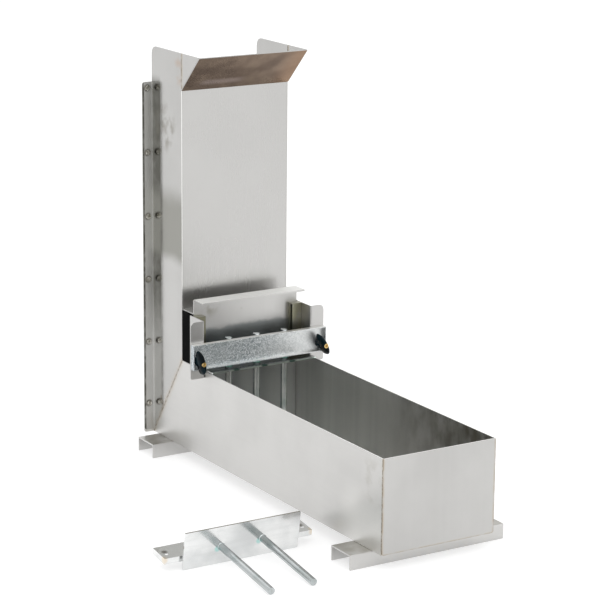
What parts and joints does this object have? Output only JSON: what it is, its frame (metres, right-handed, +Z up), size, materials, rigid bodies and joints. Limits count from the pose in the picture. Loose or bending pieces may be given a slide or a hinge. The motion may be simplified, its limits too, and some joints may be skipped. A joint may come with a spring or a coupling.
{
  "type": "hopper feeder",
  "caption": "Stainless hopper feeder for farm animals: tall hopper, long open trough, slide gate, and an exchangeable rod comb clamped by wing nuts.",
  "frame": {"origin": "on the floor under the front foot's front leg, on the trough's centre line", "axes": "+X to the right across the trough, +Y from the trough's front end back to the hopper, +Z up"},
  "size_m": [0.6417, 0.8846, 0.85],
  "materials": {
    "stainless_sheet": "brushed stainless sheet, heat-tinted at the welds",
    "galvanised_sheet": "hot-dip galvanised",
    "zinc_plated_steel": "bright zinc plated",
    "black_plastic": "satin black",
    "brass": "turned"
  },
  "bodies": {
    "frame": {"left_trough_side": "stainless_sheet", "right_trough_side": "stainless_sheet", "trough_front_panel": "stainless_sheet", "trough_floor": "stainless_sheet", "left_hopper_side": "stainless_sheet", "right_hopper_side": "stainless_sheet", "left_lip_cheek": "stainless_sheet", "right_lip_cheek": "stainless_sheet", "hopper_front_panel": "stainless_sheet", "rear_panel": "stainless_sheet", "front_foot": "stainless_sheet", "rear_foot": "stainless_sheet", "left_gate_bracket": "stainless_sheet", "right_gate_bracket": "stainless_sheet", "left_gate_guide": "stainless_sheet", "right_gate_guide": "stainless_sheet", "left_rear_screw_1": "zinc_plated_steel", "left_rear_screw_2": "zinc_plated_steel", "left_rear_screw_3": "zinc_plated_steel", "left_rear_screw_4": "zinc_plated_steel", "left_rear_screw_5": "zinc_plated_steel", "left_rear_screw_6": "zinc_plated_steel", "right_rear_screw_1": "zinc_plated_steel", "right_rear_screw_2": "zinc_plated_steel", "right_rear_screw_3": "zinc_plated_steel", "right_rear_screw_4": "zinc_plated_steel", "right_rear_screw_5": "zinc_plated_steel", "right_rear_screw_6": "zinc_plated_steel", "left_rear_nut_1": "zinc_plated_steel", "left_rear_nut_2": "zinc_plated_steel", "left_rear_nut_3": "zinc_plated_steel", "left_rear_nut_4": "zinc_plated_steel", "left_rear_nut_5": "zinc_plated_steel", "left_rear_nut_6": "zinc_plated_steel", "right_rear_nut_1": "zinc_plated_steel", "right_rear_nut_2": "zinc_plated_steel", "right_rear_nut_3": "zinc_plated_steel", "right_rear_nut_4": "zinc_plated_steel", "right_rear_nut_5": "zinc_plated_steel", "right_rear_nut_6": "zinc_plated_steel", "left_guide_bolt": "zinc_plated_steel", "right_guide_bolt": "zinc_plated_steel", "left_comb_stud": "zinc_plated_steel", "right_comb_stud": "zinc_plated_steel", "left_throat_block": "black_plastic", "right_throat_block": "black_plastic"},
    "slide_gate": {"slide_gate": "stainless_sheet"},
    "comb": {"comb_crossbar": "galvanised_sheet", "comb_shelf_plate": "galvanised_sheet", "comb_rod_left": "zinc_plated_steel", "comb_rod_centre": "zinc_plated_steel", "comb_rod_right": "zinc_plated_steel"},
    "left_knob_bush": {"left_knob_bush": "brass"},
    "left_wing_knob": {"left_wing_knob": "black_plastic"},
    "right_knob_bush": {"right_knob_bush": "brass"},
    "right_wing_knob": {"right_wing_knob": "black_plastic"},
    "spare_comb": {"spare_comb_crossbar": "galvanised_sheet", "spare_comb_shelf_plate": "galvanised_sheet", "spare_comb_rod_left": "zinc_plated_steel", "spare_comb_rod_right": "zinc_plated_steel"}
  },
  "joints": [
    {"name": "gate_slide", "type": "slide", "parent": "frame", "child": "slide_gate", "axis": [0, 0, 1], "range_m": [0, 0.16]},
    {"name": "comb_pull", "type": "slide", "parent": "frame", "child": "comb", "axis": [0, -1, 0], "range_m": [0, 0.12]},
    {"name": "left_nut_travel", "type": "slide", "parent": "comb", "child": "left_knob_bush", "axis": [0, -1, 0], "range_m": [0, 0.0255]},
    {"name": "left_nut_turn", "type": "hinge", "parent": "left_knob_bush", "child": "left_wing_knob", "pos_m": [-0.1445, 0.6, 0.24], "axis": [0, -1, 0], "range_deg": [0, 9000]},
    {"name": "right_nut_travel", "type": "slide", "parent": "comb", "child": "right_knob_bush", "axis": [0, -1, 0], "range_m": [0, 0.0255]},
    {"name": "right_nut_turn", "type": "hinge", "parent": "right_knob_bush", "child": "right_wing_knob", "pos_m": [0.1445, 0.6, 0.24], "axis": [0, -1, 0], "range_deg": [0, 9000]},
    {"name": "spare_comb_lift", "type": "slide", "parent": "frame", "child": "spare_comb", "axis": [0, 0, 1], "range_m": [0, 0.25]}
  ],
  "couplings": [
    {"joint": "left_nut_travel", "follows": "left_nut_turn", "m_per_rad": 0.00015915},
    {"joint": "right_nut_travel", "follows": "right_nut_turn", "m_per_rad": 0.00015915}
  ]
}
